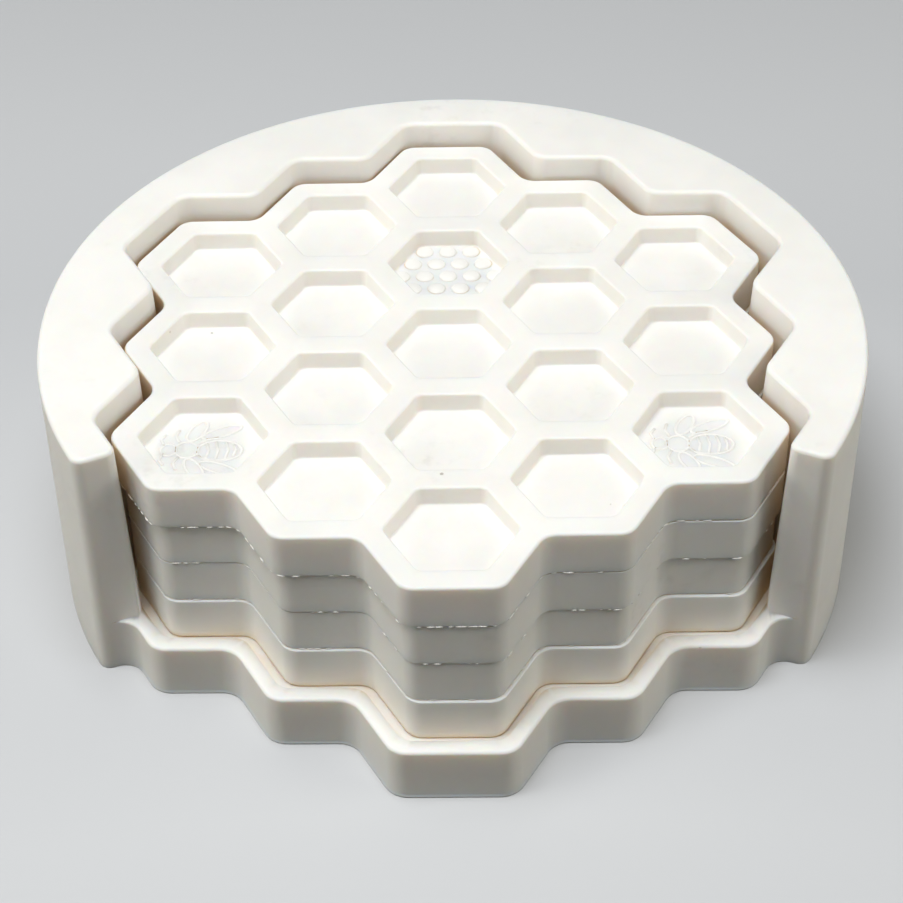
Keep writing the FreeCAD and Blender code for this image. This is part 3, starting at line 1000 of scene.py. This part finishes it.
@dataclass
class Bee:
    """A plain bee in relief, head to the left, drawn with raised rounded lines.

    Args:
        length: from its head to its sting.
        rise: height of the relief.
    """

    length: float
    rise: float
    line_width: float = 0.5 * MM

    def build(self, name: str, material: Material) -> Object:
        """Builds the relief on the plane z = 0.

        Args:
            name: object's name.
            material: its finish.

        Returns:
            One object with the body, bands, wings and legs.
        """
        mesh = bmesh.new()
        for centre, size, tilt in self._ovals():
            self._ring(mesh, centre, size, tilt)
        for stroke in self._strokes():
            self._ridge(mesh, [Vector(point) * self.length for point in stroke], closed=False)
        made = finish_mesh(mesh, name)
        made.data.materials.append(material)
        return made

    def _ovals(self) -> list[tuple[tuple[float, float], tuple[float, float], float]]:
        """Centre, half axes and tilt of the head, chest, rump and four wings."""
        return [
            ((-0.40, 0.00), (0.085, 0.095), 0.0),
            ((-0.20, 0.00), (0.125, 0.130), 0.0),
            ((0.16, -0.02), (0.250, 0.165), 0.0),
            ((-0.10, 0.31), (0.180, 0.080), 62.0),
            ((0.17, 0.29), (0.230, 0.075), 24.0),
            ((-0.10, -0.31), (0.180, 0.080), -62.0),
            ((0.17, -0.31), (0.230, 0.075), -24.0),
        ]

    def _strokes(self) -> list[list[tuple[float, float]]]:
        """Bands across the rump, two feelers and four legs, as short lines."""
        lines = [
            [(0.02, -0.14), (0.045, -0.02), (0.02, 0.10)],
            [(0.12, -0.17), (0.15, -0.02), (0.12, 0.13)],
            [(0.23, -0.16), (0.26, -0.02), (0.23, 0.12)],
            [(0.32, -0.12), (0.34, -0.02), (0.32, 0.08)],
        ]
        for sign in (1, -1):
            lines.append([(-0.45, 0.07 * sign), (-0.49, 0.17 * sign), (-0.44, 0.25 * sign)])
            lines.append([(-0.28, 0.12 * sign), (-0.33, 0.22 * sign), (-0.30, 0.33 * sign)])
            lines.append([(-0.07, 0.10 * sign), (0.02, 0.18 * sign), (0.14, 0.20 * sign)])
        return lines

    def _ring(
        self,
        mesh: BMesh,
        centre: tuple[float, float],
        size: tuple[float, float],
        tilt: float,
    ) -> None:
        """Closed oval line."""
        turn = Matrix.Rotation(math.radians(tilt), 2)
        points = []
        for k in range(28):
            angle = math.tau * k / 28
            spot = turn @ Vector((size[0] * math.cos(angle), size[1] * math.sin(angle)))
            points.append((Vector(centre) + spot) * self.length)
        self._ridge(mesh, points, closed=True)

    def _ridge(self, mesh: BMesh, path: list[Vector], closed: bool) -> None:
        """Raised line with a rounded top along a flat path."""
        steps = 5
        rows = []
        count = len(path)
        for index, place in enumerate(path):
            ahead = path[(index + 1) % count] if closed or index < count - 1 else place
            behind = path[index - 1] if closed or index > 0 else place
            along = (ahead - behind).normalized()
            across = Vector((-along.y, along.x))
            row = []
            for step in range(steps + 1):
                angle = math.pi * step / steps
                flat = place + across * (self.line_width / 2 * math.cos(angle))
                height = -SINK + (self.rise + SINK) * math.sin(angle)
                row.append(mesh.verts.new((flat.x, flat.y, height)))
            rows.append(row)
        pairs = list(zip(rows, rows[1:])) + ([(rows[-1], rows[0])] if closed else [])
        for first, second in pairs:
            for k in range(steps + 1):
                after = (k + 1) % (steps + 1)
                mesh.faces.new((first[k], second[k], second[after], first[after]))
        if not closed:
            mesh.faces.new(rows[0])
            mesh.faces.new(list(reversed(rows[-1])))


# ---------------------------------------------------------------- the holder


@dataclass
class Holder:
    """Round holder: floor, low lip at the front and a wall whose inside follows the comb.

    Args:
        cell_side: side of one tile of the comb.
        material: finish of the holder.
    """

    cell_side: float
    material: Material
    margin: float = 1.65 * MM
    floor_gap: float = 0.7 * MM
    rim_gap: float = 1.8 * MM
    recess_corner: float = 3.0 * MM
    lip_width: float = 2.6 * MM
    lip_rise: float = 1.3 * MM
    lip_corner: float = 3.8 * MM
    lip_round: float = 0.5 * MM
    rim_round: float = 0.7 * MM
    mouth_reach: float = 8.0 * MM
    end_slant: float = 24.0
    end_outer_round: float = 1.8 * MM
    end_inner_round: float = 1.6 * MM
    end_foot_round: float = 3.4 * MM
    flare: float = 0.22 * MM
    uneven: float = 0.06 * MM
    wave: float = 11 * MM
    arc_steps: int = 7
    ring_steps: int = 110

    def __post_init__(self) -> None:
        """Takes the holder's box and floor from the solids."""
        self.low, self.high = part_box("holder")
        self.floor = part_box("plate_1")[0].z
        self.radius = (self.high.x - self.low.x) / 2
        self.ring_back = self.high.y - self.radius
        slant = math.radians(self.end_slant)
        self.end_along = Vector((math.cos(slant), -math.sin(slant)))
        self.end_ahead = Vector((-math.sin(slant), -math.cos(slant)))
        middle = Vector((4 * self.cell_side, -self.cell_side * ROOT_3 - self.mouth_reach))
        self.end_reach = middle.dot(self.end_ahead)
        self.lip_top = self.floor + self.lip_rise

    def build(self) -> list[Object]:
        """Builds the holder as one closed shell.

        Returns:
            The holder's piece, riding on its body.
        """
        mesh = bmesh.new()
        wall = self._wall_line(self.lip_top)
        ring_count = self._ring_count()
        base = self._base_line()
        base_rows = self._base_rows(mesh, base, ring_count)
        wall_rows = self._wall_rows(mesh)
        skin(mesh, wall_rows)
        skin(mesh, base_rows)
        fill(mesh, wall_rows[0])
        fill(mesh, base_rows[-1])
        upper, lower = self._recess_rows(mesh, wall[ring_count:])
        skin(mesh, [upper, lower])
        fill(mesh, lower)
        self._lip_face(mesh, base_rows[0], wall_rows[-1], upper, ring_count)
        holder = finish_mesh(mesh, "holder_shell")
        holder.data.materials.append(self.material)
        flatten_shading(holder)
        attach(holder, "holder")
        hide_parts("holder")
        LOG.info("holder: %d faces", len(holder.data.polygons))
        return [holder]

    def _spread(self, height: float) -> float:
        """Distance from the tiles to the recess's side at a height."""
        share = (height - self.floor) / (self.high.z - self.floor)
        return self.margin + self.floor_gap + share * (self.rim_gap - self.floor_gap)

    def _behind_ends(self, place: Vector) -> float:
        """Distance of a place behind the lines of the wall's two ends."""
        return self.end_reach - Vector((abs(place.x), place.y)).dot(self.end_ahead)

    def _ring_corners(self) -> list[Corner]:
        """Outer side of the round wall, from its right end round the back to its left end."""
        foot = self.end_ahead * self.end_reach - Vector((0.0, self.ring_back))
        middle = foot.dot(self.end_along)
        reach = math.sqrt(middle**2 + self.radius**2 - foot.length_squared) - middle
        end = foot + self.end_along * reach
        start = math.atan2(end.y, end.x)
        clear = self.end_outer_round / self.radius
        first, last = start + clear, math.pi - start - clear
        corners = [Corner(end.x, end.y + self.ring_back, self.end_outer_round)]
        for step in range(self.ring_steps + 1):
            angle = first + (last - first) * step / self.ring_steps
            corners.append(
                Corner(
                    self.radius * math.cos(angle), self.ring_back + self.radius * math.sin(angle)
                )
            )
        corners.append(Corner(-end.x, end.y + self.ring_back, self.end_outer_round))
        return corners

    def _ring_count(self) -> int:
        """Stations that the base and the wall share along the ring."""
        return 2 * (self.arc_steps + 1) + self.ring_steps + 1

    def _wall_line(self, height: float) -> list[Station]:
        """Outline of the round wall at a height."""
        comb = comb_corners(self.cell_side, self._spread(height), self.recess_corner)
        inner = keep_part(comb, self._behind_ends, self.end_inner_round)
        base = self._base_line()
        left, right = base[self._ring_count()].place, base[-1].place
        feet = [Corner(left.x, left.y), *inner[::-1], Corner(right.x, right.y)]
        return stations(self._ring_corners() + feet, self.arc_steps, 1)

    def _base_line(self) -> list[Station]:
        """Outline of the floor and lip, with a hollow where each of the wall's ends begins."""
        spread = self.margin + self.floor_gap + self.lip_width
        comb = comb_corners(self.cell_side, spread, self.lip_corner)
        lip = keep_part(comb, lambda place: -self._behind_ends(place), self.end_foot_round)
        return stations(self._ring_corners() + lip, self.arc_steps, 1)

    def _base_rows(self, mesh: BMesh, line: list[Station], ring_count: int) -> list[list[BMVert]]:
        """Rows up the side of the floor and lip, highest first."""
        first, last = ring_count, len(line) - 1
        fade = self.arc_steps

        def weight(index: int) -> float:
            """1 along the lip, falling to 0 at the wall's ends."""
            inside = min(index - first, last - index)
            return max(0.0, min(1.0, inside / fade))

        profile = [(0.0, 0.08 * MM), (0.12 * MM, 0.0), (0.28 * MM, 0.02 * MM)]
        profile += [(0.6 * MM, self.flare), (self.lip_top * 0.5, self.flare)]
        for drop, inset in quarter_turn(5):
            height = self.lip_top - self.lip_round * drop
            profile.append((height, self.flare + self.lip_round * inset))
        rows = []
        for height, inset in profile:
            row = []
            for index, station in enumerate(line):
                share = weight(index)
                amount = share * (inset + waver(station.place.to_3d(), self.wave, self.uneven))
                flat = station.place - station.outward * amount
                row.append(mesh.verts.new((flat.x, flat.y, height)))
            rows.append(row)
        return rows[::-1]

    def _wall_rows(self, mesh: BMesh) -> list[list[BMVert]]:
        """Rows up the round wall, highest first."""
        rim = self.high.z
        rows = []
        for inset, drop in quarter_turn(5):
            height = rim - self.rim_round * drop
            rows.append(ring_of(mesh, self._wall_line(height), height, self.rim_round * inset))
        for share in (0.75, 0.5, 0.25, 0.0):
            height = self.lip_top + share * (rim - self.rim_round - self.lip_top)
            rows.append(ring_of(mesh, self._wall_line(height), height))
        return rows

    def _recess_rows(self, mesh: BMesh, inner: list[Station]) -> tuple[list[BMVert], list[BMVert]]:
        """Comb-shaped rows at the lip's top and at the floor.

        Args:
            mesh: mesh that gets the rows.
            inner: the wall's stations from its left end round the inside to its right end.

        Returns:
            The upper and the lower row, with points where the wall's ends meet the lip.
        """
        touch_left = inner[self.arc_steps + 1].place
        touch_right = inner[-2 - self.arc_steps].place
        rows = []
        for height in (self.lip_top, self.floor):
            corners = comb_corners(self.cell_side, self._spread(height), self.recess_corner)
            with_ends: list[Corner] = []
            for index, corner in enumerate(corners):
                with_ends.append(corner)
                following = corners[(index + 1) % len(corners)]
                for touch in (touch_left, touch_right):
                    if (corner.back - touch.y) * (following.back - touch.y) < 0 and (
                        corner.right * touch.x > 0
                    ):
                        cut = cut_edge(corner, following, lambda place: place.y - touch.y)
                        with_ends.append(cut)
            rows.append(ring_of(mesh, stations(with_ends, self.arc_steps, 1), height))
        return rows[0], rows[1]

    def _lip_face(
        self,
        mesh: BMesh,
        base: list[BMVert],
        wall: list[BMVert],
        recess: list[BMVert],
        ring_count: int,
    ) -> None:
        """Level top of the lip, between its outer edge, the wall's ends and the recess."""
        left_end = wall[ring_count : ring_count + self.arc_steps + 2]
        right_end = wall[len(wall) - 2 - self.arc_steps :]
        front = [vert for vert in recess if vert.co.y < left_end[-1].co.y - 0.01 * MM]
        split = next(
            (k for k in range(len(front)) if (front[k].co - front[k - 1].co).length > 60 * MM), 0
        )
        front = front[split:] + front[:split]
        outer = base[ring_count + 1 : len(base) - 1]
        loop = [left_end[0], *outer, right_end[-1], *right_end[-2::-1], *front[::-1]]
        loop += left_end[:0:-1]
        fill(mesh, loop)


# ---------------------------------------------------------------- studio


@dataclass
class Studio:
    """Pale floor, soft lamps and the camera.

    Args:
        target: place that the camera looks at.
        distance: from the camera to the target.
        elevation: camera's height above the horizon, in degrees.
        azimuth: camera's turn round the target, in degrees.
        roll: camera's turn about its own axis, in degrees.
        focal_length: in millimetres, on a sensor 36 mm wide.
    """

    target: Vector
    distance: float = 338.3 * MM
    elevation: float = 40.93
    azimuth: float = -0.527
    roll: float = -0.707
    focal_length: float = 93.6

    def build(self) -> None:
        """Makes everything round the object."""
        self._camera()
        self._floor()
        self._lamps()
        self._world()
        bpy.context.scene.view_settings.view_transform = "Standard"

    def _camera(self) -> None:
        """Camera at the object's front, looking down on it."""
        azimuth, elevation = math.radians(self.azimuth), math.radians(self.elevation)
        ahead = Vector(
            (
                math.sin(azimuth) * math.cos(elevation),
                math.cos(azimuth) * math.cos(elevation),
                -math.sin(elevation),
            )
        )
        data = bpy.data.cameras.new("camera")
        data.lens = self.focal_length
        data.sensor_width = 36.0
        data.clip_start, data.clip_end = 0.01, 20.0
        camera = show("camera", data)
        look = ahead.to_track_quat("-Z", "Y").to_matrix()
        camera.matrix_world = (
            Matrix.Translation(self.target - ahead * self.distance)
            @ (look @ Matrix.Rotation(math.radians(self.roll), 3, "Z")).to_4x4()
        )
        bpy.context.scene.camera = camera

    def _floor(self) -> None:
        """Wide pale floor that rises softly behind the object."""
        mesh = bmesh.new()
        half, back, rise = 3.0, 2.2, 1.6
        profile = [(-3.0, 0.0), (back - rise, 0.0)]
        for step in range(1, 17):
            angle = math.radians(90 * step / 16)
            profile.append((back - rise + rise * math.sin(angle), rise * (1 - math.cos(angle))))
        profile.append((back, 3.0))
        rows = [[mesh.verts.new((side * half, y, z)) for side in (-1, 1)] for y, z in profile]
        for first, second in zip(rows, rows[1:]):
            mesh.faces.new((first[0], first[1], second[1], second[0]))
        data = bpy.data.meshes.new("floor")
        mesh.to_mesh(data)
        mesh.free()
        data.shade_smooth()
        floor = show("floor", data)
        material = bpy.data.materials.new("pale_floor")
        material.use_nodes = True
        tree = material.node_tree
        tree.nodes.clear()
        lay = TreeMaker(tree)
        rays = lay.add("ShaderNodeLightPath").outputs
        seen = lay.sum("MAXIMUM", rays["Is Camera Ray"], rays["Is Glossy Ray"])
        seen = lay.sum("MAXIMUM", seen, rays["Is Transmission Ray"])
        colour = lay.blend(seen, (0.11, 0.108, 0.095, 1.0), (0.60, 0.605, 0.62, 1.0))
        surface = lay.add("ShaderNodeBsdfDiffuse", {"Color": colour})
        out = lay.add("ShaderNodeOutputMaterial")
        tree.links.new(surface.outputs[0], out.inputs[0])
        data.materials.append(material)

    def _lamps(self) -> None:
        """Large soft lamp above and a little in front, and one on each side."""
        cool, warm = (0.955, 0.98, 1.0), (1.0, 0.985, 0.90)
        self._lamp("top_lamp", (-0.08, -0.095, 0.62), 0.34, 3.5, cool)
        self._lamp("left_lamp", (-0.50, -0.10, 0.24), 0.30, 1.05, warm)
        self._lamp("right_lamp", (0.50, -0.09, 0.24), 0.30, 1.00, warm)

    def _lamp(
        self,
        name: str,
        place: tuple[float, float, float],
        size: float,
        power: float,
        colour: tuple[float, float, float],
    ) -> None:
        """Square area lamp that faces the object."""
        data = bpy.data.lights.new(name, "AREA")
        data.shape = "SQUARE"
        data.size = size
        data.energy = power
        data.color = colour
        lamp = show(name, data)
        lamp.location = place
        lamp.rotation_mode = "QUATERNION"
        lamp.rotation_quaternion = (self.target - Vector(place)).to_track_quat("-Z", "Y")

    def _world(self) -> None:
        """Faint even light from all round."""
        world = bpy.data.worlds.new("studio")
        bpy.context.scene.world = world
        world.use_nodes = True
        background = world.node_tree.nodes["Background"]
        background.inputs["Color"].default_value = (1.0, 0.96, 0.82, 1.0)
        background.inputs["Strength"].default_value = 0.05


def report(pieces: Iterable[Object]) -> None:
    """Logs each piece's name and the size of its mesh."""
    for piece in pieces:
        LOG.info("%s: %d vertices", piece.name, len(piece.data.vertices))


# bottom plate first
CASTINGS = (
    Casting(turn=0.3, shrink=0.75 * MM, top_round=0.2 * MM, flash=0.0),
    Casting(turn=0.4, shrink=0.95 * MM, top_round=0.12 * MM, flash=0.2),
    Casting(turn=0.2, shrink=0.6 * MM, top_round=0.12 * MM, flash=0.25),
    Casting(turn=0.6, shrink=0.0, top_round=0.42 * MM, flash=0.3),
)


def main() -> None:
    """Builds the holder, the plates and the studio."""
    logging.basicConfig(level=logging.INFO, format="%(name)s: %(message)s")
    effects = Effects()
    plates = []
    for number, casting in enumerate(CASTINGS, start=1):
        finish = CastFinish(f"plate_{number}_cast", shift=0.11 * number)
        thin = replace(finish, name=f"plate_{number}_relief", scatter=0.0)
        plates.append(Plate(number, casting, finish.build(effects), thin.build(effects)))
    pieces: list[Object] = []
    for plate in plates:
        pieces += plate.build()
    holder_finish = CastFinish("holder_cast").build(effects)
    pieces += Holder(plates[0].cell_side, holder_finish).build()
    report(pieces)
    top = plates[-1]
    Studio(Vector((-0.00012, -0.0245, top.high.z))).build()


if __name__ == "__main__":
    main()
